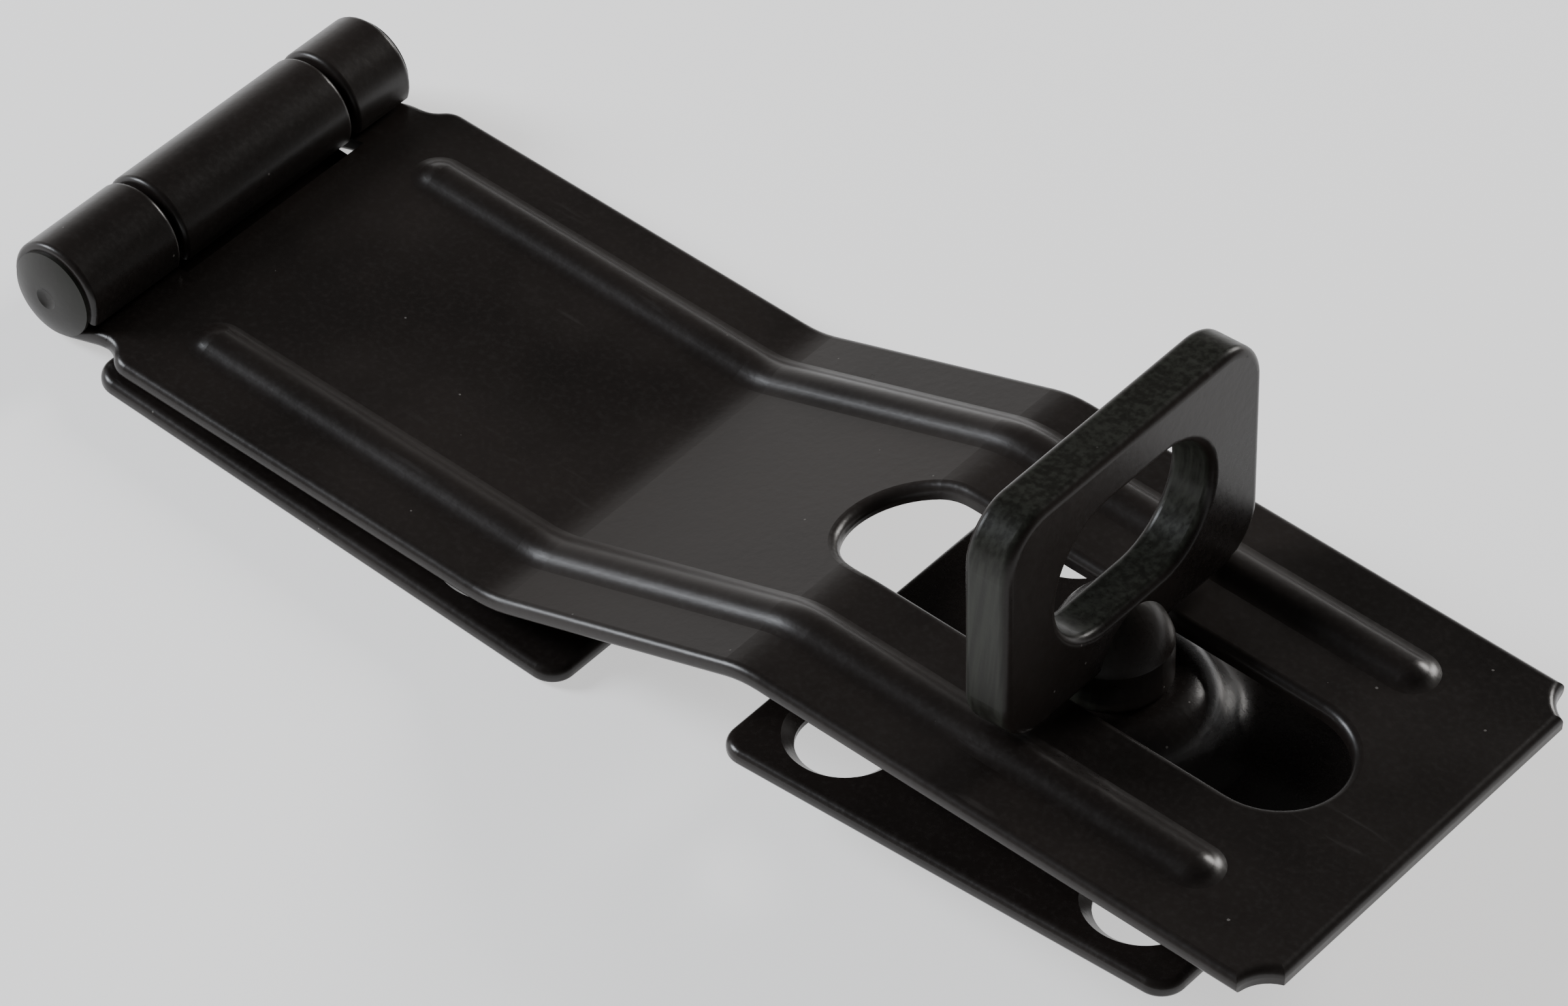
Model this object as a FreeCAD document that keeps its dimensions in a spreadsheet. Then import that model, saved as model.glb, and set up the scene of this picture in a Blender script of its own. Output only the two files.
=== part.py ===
import FreeCAD, Part
import math
import operator
import os

import Sketcher

# A swivel-staple safety hasp in pressed steel, for a door, gate or cabinet.
# Each piece is drawn about its own reference point and is then placed in the common frame:
# X runs from the hinge to the free end of the strap, Z points away from the mounting surface,
# and the origin is the middle of the mounting leaf's screw holes, on its underside.

# ---------------------------------------------------------------- driving dimensions (mm, degrees)

DIMENSIONS = {
    # sheet and hinge
    "sheet_thickness": 1.3,
    "pin_diameter": 5.4,
    "pin_clearance": 0.08,
    "pin_head_diameter": 7.0,
    "pin_head_height": 0.9,
    "pin_head_rim": 0.3,
    "pin_head_crown": 6.0,
    "pin_dimple_floor": 0.3,
    "pin_dimple_radius": 0.9,
    "pin_dimple_crown": 1.2,
    "pin_dimple_depth": 0.25,
    "barrel_length": 34.4,
    "near_knuckle_length": 9.2,
    "far_knuckle_length": 6.0,
    "knuckle_gap": 0.5,
    "curl_opening_angle": 14.0,
    "leaf_gap": 0.2,
    "knuckle_edge_round": 0.45,
    "open_angle": 1.8,
    # slotted strap
    "strap_width": 37.2,
    "strap_length": 110.2,
    "knuckle_cut_depth": 4.6,
    "flare_start": 5.0,
    "flare_end": 8.0,
    "neck_slope": 20.0,
    "first_bend": 43.1,
    "second_bend": 65.7,
    "strap_rise": 8.5,
    "bend_radius": 8.0,
    "neck_bend_radius": 5.0,
    "slot_start": 60.9,
    "slot_end": 102.7,
    "slot_width": 10.7,
    "corner_notch_length": 1.9,
    "corner_notch_width": 2.8,
    "corner_notch_radius": 3.1,
    "bead_spacing": 24.3,
    "bead_width": 5.0,
    "bead_height": 0.8,
    "bead_start": 11.4,
    "bead_end": 99.8,
    "edge_round": 0.7,
    "under_edge_round": 0.4,
    # mounting leaf and staple plate
    "plate_width": 38.4,
    "leaf_length": 50.0,
    "leaf_shoulder": 5.4,
    "plate_length": 39.3,
    "plate_corner_radius": 2.0,
    "hole_diameter": 7.1,
    "countersink_diameter": 8.9,
    "hole_spacing": 26.0,
    "leaf_hole_end_margin": 11.0,
    # dome, staple and its riveted end
    "dome_base_radius": 10.8,
    "dome_top_radius": 4.9,
    "dome_height": 4.1,
    "staple_station": 83.2,
    "staple_lean": 4.5,
    "dome_wall": 1.3,
    "bead_clearance": 0.4,
    "dome_clearance": 0.6,
    "stem_diameter": 8.8,
    "stem_shoulder_height": 4.1,
    "stem_shoulder_reach": 1.5,
    "stem_shoulder_radius": 8.0,
    "tenon_diameter": 5.6,
    "tenon_clearance": 0.1,
    "washer_diameter": 9.6,
    "washer_thickness": 0.8,
    "washer_gap": 0.1,
    "rivet_head_diameter": 7.6,
    "rivet_head_height": 1.1,
    "eye_width": 28.1,
    "eye_height": 19.5,
    "eye_thickness": 3.85,
    "eye_top_corner_radius": 4.2,
    "eye_bottom_corner_radius": 4.0,
    "eye_edge_round": 0.7,
    "shackle_hole_length": 17.0,
    "shackle_hole_height": 11.0,
    "shackle_hole_rise": 9.8,
}


class Size:
    """A number together with the spreadsheet expression that gives it."""

    def __init__(self, value, text):
        self.value = value
        self.text = text

    def combine(self, other, sign, result):
        other = other if isinstance(other, Size) else Size(float(other), str(other))
        return Size(result(self.value, other.value), "(%s %s %s)" % (self.text, sign, other.text))

    def __add__(self, other):
        return self.combine(other, "+", operator.add)

    def __sub__(self, other):
        return self.combine(other, "-", operator.sub)

    def __mul__(self, other):
        return self.combine(other, "*", operator.mul)

    def __truediv__(self, other):
        return self.combine(other, "/", operator.truediv)

    def __neg__(self):
        return self * -1


doc = FreeCAD.newDocument("hasp_and_staple")
sheet = doc.addObject("Spreadsheet::Sheet", "Sizes")
size = {}
for row, (name, number) in enumerate(DIMENSIONS.items(), start=1):
    sheet.set("A%d" % row, name)
    sheet.set("B%d" % row, str(number))
    sheet.setAlias("B%d" % row, name)
    size[name] = Size(number, "Sizes." + name)
doc.recompute()

thickness = size["sheet_thickness"]
bore_radius = size["pin_diameter"] / 2 + size["pin_clearance"]
knuckle_radius = bore_radius + thickness
# heights of the strap's and the leaf's undersides, measured from the pin's axis
leaf_level = -knuckle_radius
strap_level = leaf_level + thickness + size["leaf_gap"]
# ends of the three knuckles along the pin
barrel_near = -(size["barrel_length"] / 2)
barrel_far = size["barrel_length"] / 2
middle_near = barrel_near + size["near_knuckle_length"] + size["knuckle_gap"]
middle_far = barrel_far - size["far_knuckle_length"] - size["knuckle_gap"]
leaf_hole_centre = size["leaf_length"] - size["leaf_hole_end_margin"] - size["hole_spacing"] / 2
# the eye's lower edge clears the beads, and the dome clears the strap from below
shoulder_gap = size["bead_height"] + size["bead_clearance"]
dome_top = -(shoulder_gap + thickness + size["dome_clearance"])
ZERO = Size(0.0, "0")
OVERSIZE = 5.0  # how far a cutting outline runs past what it cuts
BEDDING = 0.02  # how far a bead's feet lie below the face that they rise from


# ---------------------------------------------------------------- drawing helpers

def bind(target, name, amount):
    """Set a property and tie it to the spreadsheet."""
    setattr(target, name, amount.value)
    target.setExpression(name, amount.text)


def new_body(label):
    body = doc.addObject("PartDesign::Body", label)
    body.Label = label
    return body


def new_sketch(body, role, name, offset=None):
    """A sketch on one of the body's origin planes, moved along its normal by offset."""
    sketch = body.newObject("Sketcher::SketchObject", name)
    plane = next(item for item in body.Origin.OriginFeatures if item.Role == role)
    sketch.AttachmentSupport = [(plane, "")]
    sketch.MapMode = "FlatFace"
    if offset is not None:
        sketch.AttachmentOffset = FreeCAD.Placement(FreeCAD.Vector(0, 0, offset.value), FreeCAD.Rotation())
        sketch.setExpression("AttachmentOffset.Base.z", offset.text)
    return sketch


def dimension(sketch, kind, items, amount):
    """Add a driving dimension that is tied to the spreadsheet."""
    index = sketch.addConstraint(Sketcher.Constraint(kind, *items, amount.value))
    sketch.setExpression("Constraints[%d]" % index, amount.text)


def fix_point(sketch, geometry, end, x, y):
    dimension(sketch, "DistanceX", (-1, 1, geometry, end), x)
    dimension(sketch, "DistanceY", (-1, 1, geometry, end), y)


def outline(sketch, corners, bows=None, closed=True):
    """Lines and arcs through corners, each a pair of sizes.

    bows gives (radius, side) for each stretch that is an arc. On the way to the next corner, the arc
    bulges to the right of its travel when side is 1, and to the left when it is -1.
    """
    bows = bows or {}
    points = [FreeCAD.Vector(x.value, y.value, 0) for x, y in corners]
    first = sketch.GeometryCount
    count = len(points)
    stretches = count if closed else count - 1
    for i in range(stretches):
        start, end = points[i], points[(i + 1) % count]
        if i not in bows:
            sketch.addGeometry(Part.LineSegment(start, end), False)
            continue
        radius, side = bows[i]
        chord = end - start
        left = FreeCAD.Vector(-chord.y, chord.x, 0).normalize()
        bulge = radius.value - math.sqrt(radius.value ** 2 - chord.Length ** 2 / 4)
        middle = (start + end) / 2 - left * bulge * side
        sketch.addGeometry(Part.Arc(start, middle, end), False)
    # an arc drawn clockwise is stored with its ends exchanged
    start_ends = [2 if i in bows and bows[i][1] < 0 else 1 for i in range(stretches)]
    for i in range(stretches):
        fix_point(sketch, first + i, start_ends[i], *corners[i])
        far_end = 3 - start_ends[i]
        if closed or i + 1 < stretches:
            after = (i + 1) % stretches
            sketch.addConstraint(Sketcher.Constraint("Coincident", first + i, far_end,
                                                     first + after, start_ends[after]))
        else:
            fix_point(sketch, first + i, far_end, *corners[i + 1])
        if i in bows:
            dimension(sketch, "Radius", (first + i,), bows[i][0])


def rectangle(sketch, x0, x1, y0, y1):
    outline(sketch, [(x0, y0), (x1, y0), (x1, y1), (x0, y1)])


def circle(sketch, x, y, radius):
    index = sketch.addGeometry(Part.Circle(FreeCAD.Vector(x.value, y.value, 0),
                                           FreeCAD.Vector(0, 0, 1), radius.value), False)
    fix_point(sketch, index, 3, x, y)
    dimension(sketch, "Radius", (index,), radius)


def obround(sketch, start, end, y, radius):
    """A slot with round ends, from start to end along the sketch's X axis."""
    left = FreeCAD.Vector(start.value + radius.value, y.value, 0)
    right = FreeCAD.Vector(end.value - radius.value, y.value, 0)
    up = FreeCAD.Vector(0, radius.value, 0)
    out = FreeCAD.Vector(0, 0, 1)
    base = sketch.GeometryCount
    half_turn = math.pi / 2
    sketch.addGeometry(Part.ArcOfCircle(Part.Circle(left, out, radius.value), half_turn, 3 * half_turn), False)
    sketch.addGeometry(Part.LineSegment(left - up, right - up), False)
    sketch.addGeometry(Part.ArcOfCircle(Part.Circle(right, out, radius.value), -half_turn, half_turn), False)
    sketch.addGeometry(Part.LineSegment(right + up, left + up), False)
    joins = [(0, 2, 1, 1), (1, 2, 2, 1), (2, 2, 3, 1), (3, 2, 0, 1)]
    for first, first_end, second, second_end in joins:
        sketch.addConstraint(Sketcher.Constraint("Tangent", base + first, first_end, base + second, second_end))
    fix_point(sketch, base, 3, start + radius, y)
    dimension(sketch, "DistanceX", (-1, 1, base + 2, 3), end - radius)
    dimension(sketch, "Radius", (base,), radius)


def turning_axis(sketch, x):
    """An upward construction line for a revolved feature to turn about."""
    index = sketch.addGeometry(Part.LineSegment(FreeCAD.Vector(x.value, 0, 0),
                                                FreeCAD.Vector(x.value, OVERSIZE, 0)), True)
    fix_point(sketch, index, 1, x, ZERO)
    fix_point(sketch, index, 2, x, Size(OVERSIZE, str(OVERSIZE)))


def pad(body, sketch, name, length, symmetric=True):
    feature = body.newObject("PartDesign::Pad", name)
    feature.Profile = sketch
    feature.SideType = "Symmetric" if symmetric else "One side"
    bind(feature, "Length", length)
    doc.recompute()


def pocket_through(body, sketch, name):
    """Cut right through the body, both ways from the sketch."""
    before = body.Shape.Volume
    feature = body.newObject("PartDesign::Pocket", name)
    feature.Profile = sketch
    feature.Type = "ThroughAll"
    feature.SideType = "Symmetric"
    doc.recompute()
    if not body.Shape.Volume < before:
        raise RuntimeError(name + " cuts nothing")


def revolve(body, sketch, name, kind="PartDesign::Revolution", axis="V_Axis", angle=360, reverse=False):
    """Turn a sketch about its vertical axis, or about another axis that it holds."""
    feature = body.newObject(kind, name)
    feature.Profile = sketch
    feature.ReferenceAxis = (sketch, [axis])
    feature.Angle = angle
    feature.Reversed = reverse
    doc.recompute()


def sweep(body, kind, section, path, name):
    feature = body.newObject(kind, name)
    feature.Profile = section
    feature.Spine = path
    doc.recompute()


def fillet(body, name, radius, wanted):
    """Round the edges of the body for which wanted(edge) is true."""
    edges = ["Edge%d" % (i + 1) for i, edge in enumerate(body.Shape.Edges) if wanted(edge)]
    base = body.Tip
    feature = body.newObject("PartDesign::Fillet", name)
    feature.Base = (base, edges)
    bind(feature, "Radius", radius)
    doc.recompute()
    if not feature.isValid():
        raise RuntimeError(name + " can't be rounded")


def runs_along(edge, axis):
    """True for a straight edge that is parallel to the named axis."""
    if not isinstance(edge.Curve, Part.Line):
        return False
    return abs(getattr(edge.Curve.Direction, axis)) > 0.999


def near(edge, **place):
    """True when the middle of the edge has the named coordinates."""
    middle = edge.valueAt((edge.FirstParameter + edge.LastParameter) / 2)
    return all(abs(getattr(middle, axis) - amount.value) < 0.01 for axis, amount in place.items())


def on_rim(shape, edge, side):
    """True for an edge where an upright face meets one that looks upwards (side 1) or downwards (-1)."""
    middle = edge.valueAt((edge.FirstParameter + edge.LastParameter) / 2)
    rises = []
    for face in shape.ancestorsOfType(edge, Part.Face):
        u, v = face.Surface.parameter(middle)
        rises.append(face.normalAt(u, v).z * side)
    return len(rises) == 2 and max(rises) > 0.8 and abs(min(rises, key=abs)) < 0.05


def sine(angle):
    return Size(math.sin(math.radians(angle.value)), "sin(%s)" % angle.text)


def cosine(angle):
    return Size(math.cos(math.radians(angle.value)), "cos(%s)" % angle.text)


def square_root(amount):
    return Size(math.sqrt(amount.value), "sqrt(%s)" % amount.text)


# ---------------------------------------------------------------- shapes that two pieces share

def curled_sheet(body, slope, flat_corners, width):
    """Extrude a sheet whose left end is curled round the pin.

    slope is the angle at which the sheet leaves the curl, and flat_corners is the outline of its
    flat part, from the curl's outside along the underside and back along the top to its inside.
    """
    curl_outside = (knuckle_radius * sine(slope), -(knuckle_radius * cosine(slope)))
    curl_inside = (bore_radius * sine(slope), -(bore_radius * cosine(slope)))
    sheet_profile = new_sketch(body, "XZ_Plane", body.Label + "_sheet_profile")
    outline(sheet_profile, [curl_outside] + flat_corners + [curl_inside])
    pad(body, sheet_profile, body.Label + "_sheet", width)
    curl_profile = new_sketch(body, "XZ_Plane", body.Label + "_curl_profile")
    circle(curl_profile, ZERO, ZERO, knuckle_radius)
    circle(curl_profile, ZERO, ZERO, bore_radius)
    pad(body, curl_profile, body.Label + "_curl", size["barrel_length"])
    reach = knuckle_radius * 1.05
    free_end = -(reach * sine(size["curl_opening_angle"]) / cosine(size["curl_opening_angle"]))
    sheet_top = curl_inside[1] + (reach - curl_inside[0]) * sine(slope) / cosine(slope)
    opening = new_sketch(body, "XZ_Plane", body.Label + "_opening_profile")
    outline(opening, [(ZERO, ZERO), (reach, free_end), (reach, sheet_top), curl_inside])
    pocket_through(body, opening, body.Label + "_opening")


def round_knuckles(body):
    """Take the sharpness off the outer edges at the ends of each knuckle."""
    fillet(body, body.Label + "_knuckle_edges", size["knuckle_edge_round"], lambda edge: isinstance(
        edge.Curve, Part.Circle) and abs(edge.Curve.Radius - knuckle_radius.value) < 0.01
        and abs(edge.Curve.Axis.y) > 0.99)


def screw_holes(body, centre, top):
    """Four countersunk holes in a plate whose upper face is at height top."""
    places = new_sketch(body, "XY_Plane", body.Label + "_hole_places", top)
    for along in (-1, 1):
        for across in (-1, 1):
            circle(places, centre + size["hole_spacing"] * (along / 2),
                   size["hole_spacing"] * (across / 2), size["hole_diameter"] / 2)
    before = body.Shape.Volume
    holes = body.newObject("PartDesign::Hole", body.Label + "_holes")
    holes.Profile = places
    holes.DepthType = "ThroughAll"
    bind(holes, "Diameter", size["hole_diameter"])
    holes.HoleCutType = "Countersink"
    bind(holes, "HoleCutDiameter", size["countersink_diameter"])
    holes.HoleCutCountersinkAngle = 90
    doc.recompute()
    if not body.Shape.Volume < before:
        raise RuntimeError(body.Label + " has no holes")


# ---------------------------------------------------------------- slotted strap

def bead_section(sketch, centre, level, half):
    """Cross-section of a pressed bead: a crest between two feet, all of one radius.

    The feet run a little below level, so that the bead is bedded in the sheet. With half, only the
    half on one side of the centre is drawn, to be turned about the centre.
    """
    width, height = size["bead_width"] / 2, size["bead_height"]
    steepness = height / width
    radius = width * (steepness * steepness + 1) / (steepness * 4)
    foot, crest = level - BEDDING, level + height - BEDDING
    middle = level + height / 2 - BEDDING
    base = foot - BEDDING
    right = [(centre + width, foot), (centre + width / 2, middle)]
    if half:
        corners = [(centre, base), (centre + width, base)] + right + [(centre, crest)]
        outline(sketch, corners, {2: (radius, -1), 3: (radius, 1)})
        turning_axis(sketch, centre)
        return
    left = [(centre - width / 2, middle), (centre - width, foot)]
    corners = [(centre - width, base), (centre + width, base)] + right + left
    outline(sketch, corners, {2: (radius, -1), 3: (radius, 1), 4: (radius, -1)})


def build_strap():
    """The hasp leaf: one pressed sheet with two curled knuckles, two bends, a slot and two beads."""
    body = new_body("hasp_leaf")
    slope = size["neck_slope"]
    width = size["strap_width"]
    end = size["strap_length"]
    low, high = strap_level, strap_level + size["strap_rise"]
    grade = size["strap_rise"] / (size["second_bend"] - size["first_bend"])
    half_turn = (square_root(grade * grade + 1) - 1) / grade  # tangent of half the bend's angle
    neck_end = (strap_level * cosine(slope) + knuckle_radius) / sine(slope)
    first, second = size["first_bend"], size["second_bend"]
    first_top, second_top = first - thickness * half_turn, second - thickness * half_turn
    neck_top = neck_end - thickness * sine(slope) / (cosine(slope) + 1)
    under = [(neck_end, low), (first, low), (second, high), (end, high)]
    over = [(end, high + thickness), (second_top, high + thickness),
            (first_top, low + thickness), (neck_top, low + thickness)]
    curled_sheet(body, slope, under + over, width)

    inner, outer = size["bend_radius"], size["bend_radius"] + thickness
    neck_inner, neck_outer = size["neck_bend_radius"], size["neck_bend_radius"] + thickness
    bends = [(neck_inner, [(neck_end, low)]), (neck_outer, [(neck_top, low + thickness)]),
             (inner, [(first_top, low + thickness), (second, high)]),
             (outer, [(first, low), (second_top, high + thickness)])]
    for radius, places in bends:
        fillet(body, "hasp_leaf_bends", radius, lambda edge: runs_along(edge, "y") and any(
            near(edge, x=x, z=z) for x, z in places))

    clearing = new_sketch(body, "XY_Plane", "hasp_leaf_hinge_outline")
    left = -knuckle_radius - OVERSIZE
    rectangle(clearing, left, size["knuckle_cut_depth"], middle_near - size["knuckle_gap"],
              middle_far + size["knuckle_gap"])
    flare_run = size["flare_end"] - size["flare_start"]
    flare_middle = size["flare_start"] + flare_run / 2
    for side in (-1, 1):
        barrel_edge, edge = size["barrel_length"] / 2 * side, width / 2 * side
        flare = (edge - barrel_edge) * side
        bend = (flare_run * flare_run + flare * flare) / (flare * 4)
        corners = [(left, barrel_edge), (size["flare_start"], barrel_edge),
                   (flare_middle, (barrel_edge + edge) / 2), (size["flare_end"], edge),
                   (size["flare_end"], edge + OVERSIZE * side), (left, edge + OVERSIZE * side)]
        outline(clearing, corners, {1: (bend, side), 2: (bend, -side)})
    pocket_through(body, clearing, "hasp_leaf_hinge_cuts")
    round_knuckles(body)

    notches = new_sketch(body, "XY_Plane", "hasp_leaf_notch_outline")
    for side in (-1, 1):
        edge_of_strap = width / 2 * side
        corners = [(end - size["corner_notch_length"], edge_of_strap),
                   (end, edge_of_strap - size["corner_notch_width"] * side),
                   (end + OVERSIZE, edge_of_strap - size["corner_notch_width"] * side),
                   (end + OVERSIZE, edge_of_strap + OVERSIZE * side),
                   (end - size["corner_notch_length"], edge_of_strap + OVERSIZE * side)]
        outline(notches, corners, {0: (size["corner_notch_radius"], side)})
    pocket_through(body, notches, "hasp_leaf_notches")

    slot = new_sketch(body, "XY_Plane", "hasp_leaf_slot_outline")
    obround(slot, size["slot_start"], size["slot_end"], ZERO, size["slot_width"] / 2)
    pocket_through(body, slot, "hasp_leaf_slot")

    flat_start = size["flare_start"].value
    fillet(body, "hasp_leaf_upper_rims", size["edge_round"], lambda edge:
           on_rim(body.Shape, edge, 1) and edge.BoundBox.XMin > flat_start - 0.01)

    # the beads follow the strap's upper face, and a groove of the same shape lies under each
    slant = square_root(grade * grade + 1)
    for level, pipe, turned in ((thickness, "PartDesign::AdditivePipe", "PartDesign::Revolution"),
                                (ZERO, "PartDesign::SubtractivePipe", "PartDesign::Groove")):
        first_radius, second_radius = outer - level, inner + level
        first_run, second_run = first_radius * half_turn, second_radius * half_turn
        first_middle, second_middle = first - level * half_turn, second - level * half_turn
        face = {False: low + level, True: high + level}
        path = new_sketch(body, "XZ_Plane", "hasp_leaf_bead_path")
        outline(path, [
            (size["bead_start"], face[False]),
            (first_middle - first_run, face[False]),
            (first_middle + first_run / slant, face[False] + first_run * grade / slant),
            (second_middle - second_run / slant, face[True] - second_run * grade / slant),
            (second_middle + second_run, face[True]),
            (size["bead_end"], face[True])], {1: (first_radius, 1), 3: (second_radius, -1)}, closed=False)
        for side in (-0.5, 0.5):
            centre = size["bead_spacing"] * side
            section = new_sketch(body, "YZ_Plane", "hasp_leaf_bead_section", size["bead_start"])
            bead_section(section, centre, face[False], False)
            sweep(body, pipe, section, path, "hasp_leaf_bead")
            for is_far_end in (False, True):
                station = size["bead_end"] if is_far_end else size["bead_start"]
                cap = new_sketch(body, "YZ_Plane", "hasp_leaf_bead_cap", station)
                bead_section(cap, centre, face[is_far_end], True)
                revolve(body, cap, "hasp_leaf_bead_end", turned, "Axis0", 180, is_far_end)
    return body


def build_pin():
    """The hinge pin, with a domed, dimpled head peened over at each end of the barrel."""
    body = new_body("hinge_pin")
    profile = new_sketch(body, "XY_Plane", "hinge_pin_profile")
    shaft, head = size["pin_diameter"] / 2, size["pin_head_diameter"] / 2
    dimple, depth = size["pin_dimple_radius"], size["pin_dimple_depth"]
    floor = size["pin_dimple_floor"]
    corners = []
    for side in (-1, 1):
        seat = size["barrel_length"] / 2 * side
        top = seat + size["pin_head_height"] * side
        half = [(ZERO, top - depth * side), (floor, top - depth * side), (dimple, top),
                (head, seat + size["pin_head_rim"] * side), (head, seat), (shaft, seat)]
        corners += half if side < 0 else half[::-1]
    crown, bowl = size["pin_head_crown"], size["pin_dimple_crown"]
    outline(profile, corners, {1: (bowl, -1), 2: (crown, 1), 8: (crown, 1), 9: (bowl, -1)})
    revolve(body, profile, "hinge_pin_turned")
    return body


# ---------------------------------------------------------------- mounting leaf

def build_leaf():
    """The plain leaf, screwed down beside the hinge, with the barrel's middle knuckle."""
    body = new_body("mounting_leaf")
    width, end, top = size["plate_width"], size["leaf_length"], leaf_level + thickness
    curled_sheet(body, ZERO, [(end, leaf_level), (end, top)], width)
    shoulders = new_sketch(body, "XY_Plane", "mounting_leaf_hinge_outline")
    for inside, outside in ((middle_near, -(width / 2) - OVERSIZE), (middle_far, width / 2 + OVERSIZE)):
        rectangle(shoulders, -knuckle_radius - OVERSIZE, size["leaf_shoulder"], inside, outside)
    pocket_through(body, shoulders, "mounting_leaf_hinge_cuts")
    fillet(body, "mounting_leaf_corners", size["plate_corner_radius"], lambda edge: runs_along(edge, "z")
           and any(near(edge, x=x, y=width / 2 * side)
                   for x in (size["leaf_shoulder"], end) for side in (-1, 1)))
    round_knuckles(body)
    shoulder = size["leaf_shoulder"].value
    for side, radius in ((1, size["edge_round"]), (-1, size["under_edge_round"])):
        fillet(body, "mounting_leaf_rim", radius, lambda edge:
               on_rim(body.Shape, edge, side) and edge.BoundBox.XMax > shoulder + 0.01)
    screw_holes(body, leaf_hole_centre, top)
    return body


# ---------------------------------------------------------------- staple plate

def build_plate():
    """The staple's plate: a square of sheet pressed up into a dome that carries the staple."""
    body = new_body("staple_plate")
    width, length = size["plate_width"], size["plate_length"]
    square = new_sketch(body, "XY_Plane", "staple_plate_outline")
    rectangle(square, -(length / 2), length / 2, -(width / 2), width / 2)
    pad(body, square, "staple_plate_sheet", thickness, symmetric=False)
    fillet(body, "staple_plate_corners", size["plate_corner_radius"], lambda edge: runs_along(edge, "z"))
    for side, radius in ((1, size["edge_round"]), (-1, size["under_edge_round"])):
        fillet(body, "staple_plate_rim", radius, lambda edge: on_rim(body.Shape, edge, side))
    screw_holes(body, ZERO, thickness)
    dome_place = new_sketch(body, "XY_Plane", "staple_plate_dome_place")
    circle(dome_place, ZERO, ZERO, size["dome_base_radius"])
    pocket_through(body, dome_place, "staple_plate_dome_opening")

    base, crown, rise = size["dome_base_radius"], size["dome_top_radius"], size["dome_height"]
    run = base - crown
    bend = (run * run + rise * rise) / (rise * 4)  # one radius for the dome's foot and its shoulder
    wall = size["dome_wall"]
    foot_centre, shoulder_centre = (base, thickness + bend), (crown, thickness + rise - bend)
    span = bend * 2
    across = (base - crown) / span
    upward = (foot_centre[1] - shoulder_centre[1]) / span
    inside, under = bend - wall, bend + wall
    hole = size["tenon_diameter"] / 2 + size["tenon_clearance"]
    dome = new_sketch(body, "XZ_Plane", "staple_plate_dome_profile")
    outline(dome, [
        (hole, thickness + rise - wall),
        (crown, thickness + rise - wall),
        (crown + across * inside, shoulder_centre[1] + upward * inside),
        (base, thickness - wall),
        (base, thickness),
        (base - run / 2, thickness + rise / 2),
        (crown, thickness + rise),
        (hole, thickness + rise)], {1: (inside, -1), 2: (under, 1), 4: (bend, -1), 5: (bend, 1)})
    revolve(body, dome, "staple_plate_dome")
    return body


# ---------------------------------------------------------------- staple and its washer

def build_eye():
    """The staple: a flat eye for the padlock on a round stem, riveted under the dome."""
    body = new_body("staple_eye")
    half, height = size["eye_width"] / 2, size["eye_height"]
    plate = new_sketch(body, "YZ_Plane", "staple_eye_outline")
    rectangle(plate, -half, half, ZERO, height)
    pad(body, plate, "staple_eye_plate", size["eye_thickness"])
    for radius, level in ((size["eye_top_corner_radius"], height), (size["eye_bottom_corner_radius"], ZERO)):
        fillet(body, "staple_eye_corners", radius, lambda edge: runs_along(edge, "x") and near(edge, z=level))
    hole = new_sketch(body, "YZ_Plane", "staple_eye_hole_outline")
    reach = size["shackle_hole_length"] / 2
    obround(hole, -reach, reach, size["shackle_hole_rise"], size["shackle_hole_height"] / 2)
    pocket_through(body, hole, "staple_eye_hole")
    fillet(body, "staple_eye_edges", size["eye_edge_round"], lambda edge: near(
        edge, x=size["eye_thickness"] / 2) or near(edge, x=-(size["eye_thickness"] / 2)))

    stem, tenon = size["stem_diameter"] / 2, size["tenon_diameter"] / 2
    head, crown = size["rivet_head_diameter"] / 2, size["rivet_head_height"]
    head_top = dome_top - size["dome_wall"] - size["washer_gap"] - size["washer_thickness"]
    turned = new_sketch(body, "XZ_Plane", "staple_eye_stem_profile")
    outline(turned, [
        (ZERO, head_top - crown),
        (head, head_top),
        (tenon, head_top),
        (tenon, dome_top),
        (stem, dome_top),
        (stem, ZERO),
        (size["stem_shoulder_reach"], size["stem_shoulder_height"]),
        (ZERO, size["stem_shoulder_height"])],
        {0: ((head * head + crown * crown) / (crown * 2), 1), 5: (size["stem_shoulder_radius"], 1)})
    revolve(body, turned, "staple_eye_stem")
    return body


def build_washer():
    """The washer between the dome and the staple's riveted end."""
    body = new_body("retaining_washer")
    ring = new_sketch(body, "XY_Plane", "retaining_washer_outline", dome_top - size["dome_wall"]
                      - size["washer_gap"] - size["washer_thickness"])
    circle(ring, ZERO, ZERO, size["washer_diameter"] / 2)
    circle(ring, ZERO, ZERO, size["tenon_diameter"] / 2 + size["tenon_clearance"])
    pad(body, ring, "retaining_washer_disc", size["washer_thickness"], symmetric=False)
    return body


# ---------------------------------------------------------------- the assembly

def place(body, x, z, angle):
    """Set the body's reference point and turn its free end upwards by angle."""
    body.Placement = FreeCAD.Placement(FreeCAD.Vector(x.value, 0, z.value),
                                       FreeCAD.Rotation(FreeCAD.Vector(0, -1, 0), angle.value))
    body.setExpression("Placement.Base.x", x.text)
    body.setExpression("Placement.Base.z", z.text)
    body.setExpression("Placement.Rotation.Angle", angle.text)


hasp_leaf = build_strap()
hinge_pin = build_pin()
mounting_leaf = build_leaf()
staple_plate = build_plate()
staple_eye = build_eye()
retaining_washer = build_washer()

pin_x, pin_z = -leaf_hole_centre, knuckle_radius
tilt = size["open_angle"]
lean = tilt + size["staple_lean"]
place(mounting_leaf, pin_x, pin_z, ZERO)
place(hasp_leaf, pin_x, pin_z, tilt)
place(hinge_pin, pin_x, pin_z, tilt)

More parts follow.
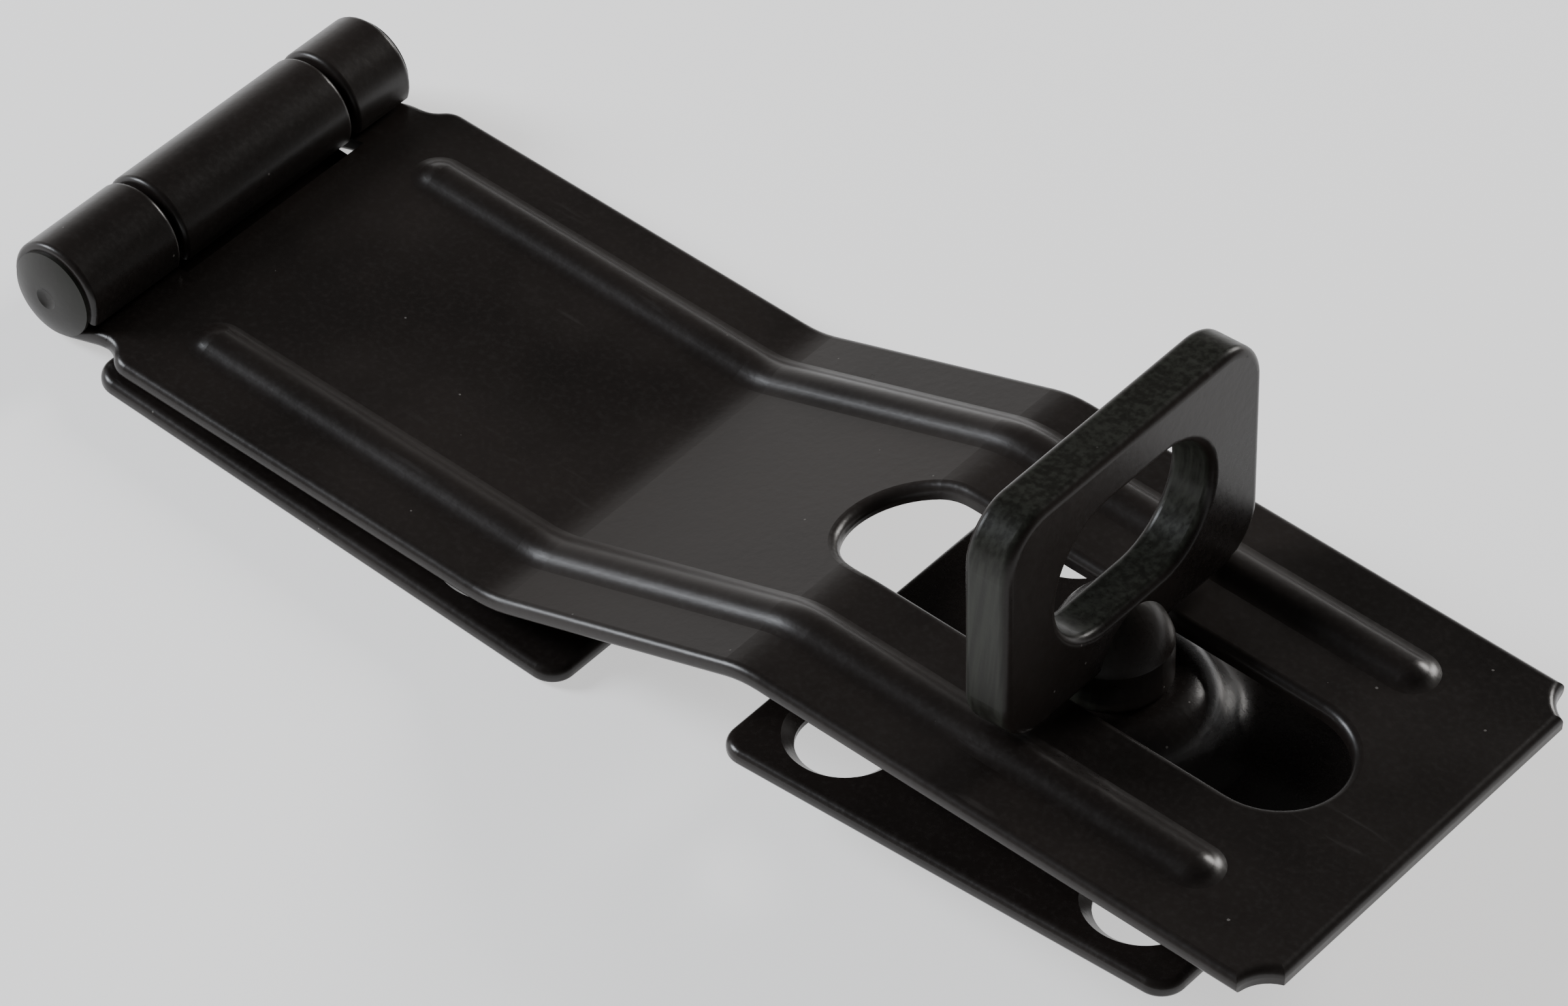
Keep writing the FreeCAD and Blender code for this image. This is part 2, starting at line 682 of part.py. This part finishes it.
# the staple stands on the strap's raised end, and its own reference point is the eye's lower edge
along = size["staple_station"]
above = strap_level + size["strap_rise"] + thickness + shoulder_gap
eye_x = pin_x + along * cosine(tilt) - above * sine(tilt)
eye_z = pin_z + along * sine(tilt) + above * cosine(tilt)
place(staple_eye, eye_x, eye_z, lean)
place(retaining_washer, eye_x, eye_z, lean)
plate_drop = -(dome_top - size["dome_height"] - thickness)
place(staple_plate, eye_x + plate_drop * sine(lean), eye_z - plate_drop * cosine(lean), lean)
doc.recompute()

pieces = [mounting_leaf, hasp_leaf, hinge_pin, staple_plate, staple_eye, retaining_washer]
for item in doc.Objects:
    if {"Invalid", "Error"} & set(item.State):
        raise RuntimeError("%s is %s" % (item.Label, item.State))
for piece in pieces:
    if piece.Shape.isNull() or not piece.Shape.isValid() or len(piece.Shape.Solids) != 1:
        raise RuntimeError(piece.Label + " isn't one valid solid")
os.makedirs("parts", exist_ok=True)
for piece in pieces:
    piece.Shape.exportStep("parts/%s.step" % piece.Label)
    print(piece.Label, round(piece.Shape.Volume, 2), "mm3")
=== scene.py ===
import math

import bpy
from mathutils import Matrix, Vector


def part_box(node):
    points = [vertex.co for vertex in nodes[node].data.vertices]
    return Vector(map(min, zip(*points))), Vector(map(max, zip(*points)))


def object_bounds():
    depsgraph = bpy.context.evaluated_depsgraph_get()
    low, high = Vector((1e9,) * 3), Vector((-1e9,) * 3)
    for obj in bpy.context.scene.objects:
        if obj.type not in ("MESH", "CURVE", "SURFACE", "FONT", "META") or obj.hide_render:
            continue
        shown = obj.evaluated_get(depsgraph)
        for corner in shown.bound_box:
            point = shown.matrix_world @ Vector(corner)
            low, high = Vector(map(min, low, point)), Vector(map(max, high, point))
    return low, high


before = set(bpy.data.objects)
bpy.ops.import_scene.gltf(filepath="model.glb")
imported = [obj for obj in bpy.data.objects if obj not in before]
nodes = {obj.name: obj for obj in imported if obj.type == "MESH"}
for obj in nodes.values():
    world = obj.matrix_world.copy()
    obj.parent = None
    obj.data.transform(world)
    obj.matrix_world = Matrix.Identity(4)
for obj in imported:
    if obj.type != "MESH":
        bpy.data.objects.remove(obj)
cad_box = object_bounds()


# ---------------------------------------------------------------- mounting leaf
# The plain leaf is blanked from 1.3 mm steel, its knuckle is curled round the pin, and it is screwed
# to the door. It is coated after pressing: a thin warm-black powder coat with a fine orange peel,
# slow drifts of gloss where the powder lay thicker, faint rubs and a little settled dust.

class Signal:
    """An output in a material's node tree, which sums and products can be written with."""

    def __init__(self, finish, socket):
        self.finish = finish
        self.socket = socket

    def math(self, operation, *values):
        inputs = dict(enumerate(values))
        return self.finish.node("Math", {"operation": operation}, inputs)

    def __add__(self, other):
        return self.math("ADD", self, other)

    def __sub__(self, other):
        return self.math("SUBTRACT", self, other)

    def __rsub__(self, other):
        return self.math("SUBTRACT", other, self)

    def __mul__(self, other):
        return self.math("MULTIPLY", self, other)

    def between(self, low, high):
        """0 below low, 1 above high, and a smooth rise between."""
        return self.finish.node("MapRange", {"interpolation_type": "SMOOTHSTEP"},
                                {"Value": self, "From Min": low, "From Max": high})


class Finish:
    """A material that is put together from nodes."""

    def __init__(self, name):
        self.material = bpy.data.materials.new(name)
        self.material.use_nodes = True
        self.tree = self.material.node_tree
        self.shader = self.tree.nodes["Principled BSDF"]

    def node(self, kind, settings, inputs, output=0):
        made = self.tree.nodes.new("ShaderNode" + kind)
        for name, value in settings.items():
            setattr(made, name, value)
        for name, value in inputs.items():
            if isinstance(value, Signal):
                self.tree.links.new(value.socket, made.inputs[name])
            else:
                made.inputs[name].default_value = value
        return Signal(self, made.outputs[output])

    def noise(self, where, size, detail=2.0, stretch=None):
        """Cloudy values about 0.5, with features of the given size in metres."""
        if stretch:
            where = self.node("Mapping", {}, {"Vector": where, "Scale": stretch})
        return self.node("TexNoise", {}, {"Vector": where, "Scale": 1 / size, "Detail": detail})

    def blend(self, amount, first, second):
        """A colour between two colours."""
        return self.node("Mix", {"data_type": "RGBA"}, {0: amount, 6: first, 7: second}, output=2)

    def set(self, **values):
        for name, value in values.items():
            socket = self.shader.inputs[name.replace("_", " ")]
            if isinstance(value, Signal):
                self.tree.links.new(value.socket, socket)
            else:
                socket.default_value = value


# sizes of the coat's patterns, in metres
DRIFT_SIZE = 0.017
GRAIN_SIZE = 0.00042
PEEL_SIZE = 0.00072
RUB_SIZE = 0.0011
PATCH_SIZE = 0.012
DUST_CELL = 0.0027
PEEL_DEPTH = 0.00004
COAT_IOR = 1.42

COAT_THIN = (0.012, 0.0095, 0.0085, 1)
COAT_THICK = (0.021, 0.0165, 0.0145, 1)
DUST = (0.16, 0.15, 0.14, 1)
RUB = (0.034, 0.03, 0.028, 1)


def powder_coat(name, shift, gloss=0.32, tint=COAT_THICK):
    """The black coat. shift moves its pattern, so that no two pieces have the same one."""
    coat = Finish(name)
    place = coat.node("TexCoord", {}, {}, output="Object")
    place = coat.node("Mapping", {}, {"Vector": place, "Location": shift})
    drift = coat.noise(place, DRIFT_SIZE, 4.0).between(0.3, 0.7)
    grain = coat.noise(place, GRAIN_SIZE, 3.0)
    peel_height = coat.noise(place, PEEL_SIZE, 2.0)
    rub = coat.noise(place, RUB_SIZE, 4.0, (0.10, 1.0, 1.0)).between(0.62, 0.74)
    patch = coat.noise(place, PATCH_SIZE, 2.0).between(0.52, 0.66)

    # each cell may hold one speck, whose size comes from the cell's own colour
    cells = {"Vector": place, "Scale": 1 / DUST_CELL, "Randomness": 1.0}
    cell = coat.node("TexVoronoi", {}, cells, output="Distance")
    chance = coat.node("TexVoronoi", {}, cells, output="Color")
    size = coat.node("SeparateColor", {}, {"Color": chance}, output=0)
    dust = 1 - (cell - size * 0.035).between(0.0, 0.012)
    dust = dust * size.between(0.35, 0.5)

    colour = coat.blend(drift, COAT_THIN, tint)
    colour = coat.blend(grain.between(0.45, 0.75) * 0.22, colour, RUB)
    colour = coat.blend(rub * patch * 0.5, colour, RUB)
    colour = coat.blend(dust * 0.8, colour, DUST)
    rough = drift * 0.07 + grain * 0.10 + rub * patch * 0.10 + dust * 0.3 + (gloss - 0.085)
    bump = coat.node("Bump", {}, {"Strength": 0.25, "Distance": PEEL_DEPTH,
                                  "Height": peel_height + grain * 0.35 + dust * 1.5})
    coat.set(Base_Color=colour, Roughness=rough, Normal=bump, IOR=COAT_IOR)
    return coat


def coat_node(name, finish):
    """Give a node its finish in place of the plain one."""
    slots = nodes[name].data.materials
    slots.clear()
    slots.append(finish.material)


coat_node("mounting_leaf", powder_coat("leaf_powder_coat", (0.3, 0.1, 0.2)))


# ---------------------------------------------------------------- slotted strap
# The hasp leaf is one pressed strip: two knuckles, a joggle up to the slotted end, and two rolled
# beads that stiffen it. It gets the same powder coat as the mounting leaf.

coat_node("hasp_leaf", powder_coat("strap_powder_coat", (0.0, 0.0, 0.0)))


# ---------------------------------------------------------------- hinge pin
# A round steel pin, peened over at both ends and dimpled by the riveting punch. Its coat is duller
# and a little greener than the sheet's, because the peened ends took the powder unevenly.

PEENED = (0.024, 0.026, 0.020, 1)
coat_node("hinge_pin", powder_coat("pin_powder_coat", (0.7, 0.2, 0.5), gloss=0.45, tint=PEENED))


# ---------------------------------------------------------------- staple plate
# A square plate, pressed up into a dome whose crown carries the staple. It is powder coated like
# the leaves, a little glossier.

coat_node("staple_plate", powder_coat("plate_powder_coat", (0.5, 0.6, 0.1), gloss=0.26))


# ---------------------------------------------------------------- staple
# The eye is flat and has a round stem, and its rims are rounded over. The coat lies thinner and a
# little greener on its narrow sides and in the padlock hole, over the lines that shearing left.

SHEAR_LINE = 0.00045
STAPLE_IOR = 1.28
staple_coat = powder_coat("staple_powder_coat", (0.2, 0.9, 0.4), gloss=0.30)
facing = staple_coat.node("TexCoord", {}, {}, output="Normal")
sideways = staple_coat.node("SeparateXYZ", {}, {"Vector": facing}, output="X")
sheared = 1 - sideways.math("ABSOLUTE", sideways).between(0.25, 0.7)
spot = staple_coat.node("TexCoord", {}, {}, output="Object")
drawn = staple_coat.noise(spot, SHEAR_LINE, 3.0, (1.0, 1.0, 0.06)).between(0.35, 0.7)
SHEARED_LOW, SHEARED_HIGH = (0.012, 0.013, 0.010, 1), (0.030, 0.033, 0.026, 1)
plain = Signal(staple_coat, staple_coat.shader.inputs["Base Color"].links[0].from_socket)
band = staple_coat.blend(drawn, SHEARED_LOW, SHEARED_HIGH)
staple_coat.set(Base_Color=staple_coat.blend(sheared * 0.75, plain, band))
smooth = Signal(staple_coat, staple_coat.shader.inputs["Roughness"].links[0].from_socket)
staple_coat.set(Roughness=smooth + sheared * drawn * 0.08, IOR=STAPLE_IOR)
coat_node("staple_eye", staple_coat)


# ---------------------------------------------------------------- retaining washer
# A plain ring that the staple's peened end bears on. It sits out of sight under the dome, in the
# same coat.

coat_node("retaining_washer", powder_coat("washer_powder_coat", (0.8, 0.3, 0.9)))


# ---------------------------------------------------------------- floor and light
# A pale seamless floor under the mounting leaf, two soft boxes, and a room that is brightest low
# down on the hinge's side.

FLOOR_SIZE, FLOOR_GAP = 4.0, 0.0002
bpy.ops.mesh.primitive_plane_add(size=FLOOR_SIZE, location=(0, 0, cad_box[0][2] - FLOOR_GAP))
floor = bpy.context.object
floor.name = "studio_floor"
paper = Finish("studio_paper")
paper.set(Base_Color=(0.9, 0.9, 0.9, 1), Roughness=0.9, Emission_Color=(1, 1, 1, 1), Emission_Strength=0.8)
floor.data.materials.append(paper.material)

world = bpy.data.worlds.new("studio")
bpy.context.scene.world = world
world.use_nodes = True
sky = world.node_tree
height = sky.nodes.new("ShaderNodeSeparateXYZ")
direction = sky.nodes.new("ShaderNodeTexCoord")
fade = sky.nodes.new("ShaderNodeMapRange")
fade.interpolation_type = "SMOOTHSTEP"
sky.links.new(direction.outputs["Generated"], height.inputs[0])
sky.links.new(height.outputs["Z"], fade.inputs["Value"])
fade.inputs["From Min"].default_value = 0.12
fade.inputs["From Max"].default_value = 0.55
fade.inputs["To Min"].default_value = 0.8
fade.inputs["To Max"].default_value = 0.0
# the walls are brighter on the hinge's side
side = sky.nodes.new("ShaderNodeMapRange")
side.interpolation_type = "SMOOTHSTEP"
sky.links.new(height.outputs["X"], side.inputs["Value"])
side.inputs["From Min"].default_value = -0.75
side.inputs["From Max"].default_value = -0.42
side.inputs["To Min"].default_value = 1.0
side.inputs["To Max"].default_value = 0.2
glow = sky.nodes.new("ShaderNodeMath")
glow.operation = "MULTIPLY_ADD"
glow.inputs[2].default_value = 0.07
sky.links.new(fade.outputs["Result"], glow.inputs[0])
sky.links.new(side.outputs["Result"], glow.inputs[1])
sky.links.new(glow.outputs[0], sky.nodes["Background"].inputs["Strength"])
sky.nodes["Background"].inputs["Color"].default_value = (1.0, 0.985, 0.965, 1)


def soft_box(name, towards, distance, size, power, colour):
    """A square area light that stands in one direction from the object and faces it."""
    light = bpy.data.lights.new(name, "AREA")
    light.size = size
    light.energy = power
    light.color = colour
    lamp = bpy.data.objects.new(name, light)
    bpy.context.scene.collection.objects.link(lamp)
    way = Vector(towards).normalized()
    lamp.location = way * distance + target
    lamp.rotation_euler = way.to_track_quat("Z", "Y").to_euler()


pin_low, pin_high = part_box("hinge_pin")
VIEW_FROM_PIN = Vector((0.0516, 0.0038, -0.0009))
target = (pin_low + pin_high) / 2 + VIEW_FROM_PIN
soft_box("back_box", (0.08, 0.90, 0.40), 0.9, 0.30, 5.0, (1.0, 0.97, 0.94))
soft_box("front_box", (-0.80, -0.42, 0.45), 0.9, 0.3, 7.0, (0.90, 0.94, 1.0))


# ---------------------------------------------------------------- camera
# A long lens from the front right, well above the strap and turned a little about its own axis.

AZIMUTH, ELEVATION, ROLL = math.radians(35.65), math.radians(45.46), math.radians(5.72)
DISTANCE, LENS = 0.5535, 177.9
back = Vector((math.sin(AZIMUTH) * math.cos(ELEVATION), -math.cos(AZIMUTH) * math.cos(ELEVATION),
               math.sin(ELEVATION)))
level = Vector((math.cos(AZIMUTH), math.sin(AZIMUTH), 0))
upright = back.cross(level)
right = level * math.cos(ROLL) + upright * math.sin(ROLL)
view = bpy.data.cameras.new("camera")
view.lens = LENS
view.sensor_width = 36.0
camera = bpy.data.objects.new("camera", view)
bpy.context.scene.collection.objects.link(camera)
turn = camera.matrix_world.to_3x3()
turn.col[0], turn.col[1], turn.col[2] = right, back.cross(right), back
camera.rotation_euler = turn.to_euler()
camera.location = target + back * DISTANCE
bpy.context.scene.camera = camera
